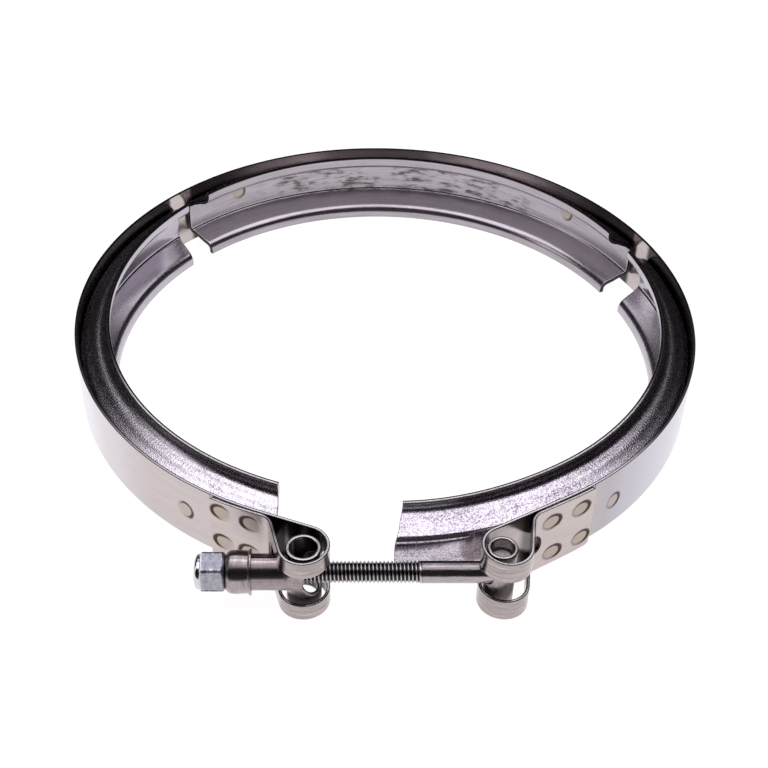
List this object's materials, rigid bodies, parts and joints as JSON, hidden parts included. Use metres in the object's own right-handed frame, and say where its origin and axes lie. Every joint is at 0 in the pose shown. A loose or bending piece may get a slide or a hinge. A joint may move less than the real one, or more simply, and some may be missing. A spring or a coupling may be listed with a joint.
{
  "type": "v-band clamp",
  "caption": "Round V-band clamp: sheet strap with welded V channel segments inside, drawn closed by a T-bolt, sleeve trunnion, cup washer and lock nut.",
  "frame": {"origin": "centre of the ring, at the middle of its width", "axes": "+Z along the ring's axis; the bolt lies along X on the -Y side, with the nut towards -X"},
  "size_m": [0.188, 0.1991, 0.0244],
  "materials": {
    "strap": "satin stainless sheet",
    "channel": "rolled stainless sheet with streaky grain",
    "trunnion_steel": "drawn steel, dark satin",
    "bolt_steel": "machined steel, dark",
    "barrel_steel": "satin steel",
    "cup_steel": "drawn steel, dark satin",
    "zinc": "zinc plated",
    "nylon": "nylon"
  },
  "bodies": {
    "rear_ring": {"band_rear": "strap", "v_segment_rear": "channel"},
    "left_arm": {"band_left": "strap", "v_segment_left": "channel"},
    "right_arm": {"band_right": "strap", "v_segment_right": "channel"},
    "sleeve": {"trunnion": "trunnion_steel"},
    "bolt": {"t_bolt": "bolt_steel", "t_bolt_barrel": "barrel_steel"},
    "washer": {"cup_washer": "cup_steel"},
    "nut": {"lock_nut": "zinc", "nut_insert": "nylon"}
  },
  "joints": [
    {"name": "left_flex", "type": "hinge", "parent": "rear_ring", "child": "left_arm", "pos_m": [-0.06941, 0.06272, 0], "axis": [0, 0, 1], "range_deg": [0, 3.4]},
    {"name": "right_flex", "type": "hinge", "parent": "rear_ring", "child": "right_arm", "pos_m": [0.08592, 0.037, 0], "axis": [0, 0, 1], "range_deg": [-2.82, 0]},
    {"name": "trunnion_swivel", "type": "hinge", "parent": "left_arm", "child": "sleeve", "pos_m": [-0.0229, -0.0984, 0], "axis": [0, 0, 1], "range_deg": [-3.4, 0]},
    {"name": "bolt_swivel", "type": "hinge", "parent": "right_arm", "child": "bolt", "pos_m": [0.0275, -0.0984, 0], "axis": [0, 0, 1], "range_deg": [0, 2.82]},
    {"name": "washer_slide", "type": "slide", "parent": "bolt", "child": "washer", "axis": [1, 0, 0], "range_m": [0, 0.0161]},
    {"name": "nut_spin", "type": "hinge", "parent": "washer", "child": "nut", "pos_m": [-0.0461, -0.0984, 0], "axis": [1, 0, 0], "range_deg": [0, 5787]}
  ],
  "couplings": [
    {"joint": "right_flex", "follows": "left_flex", "ratio": -0.83042},
    {"joint": "trunnion_swivel", "follows": "left_flex", "ratio": -1},
    {"joint": "bolt_swivel", "follows": "left_flex", "ratio": 0.83042},
    {"joint": "washer_slide", "follows": "left_flex", "m_per_rad": 0.27084},
    {"joint": "nut_spin", "follows": "left_flex", "ratio": 1701.8}
  ]
}
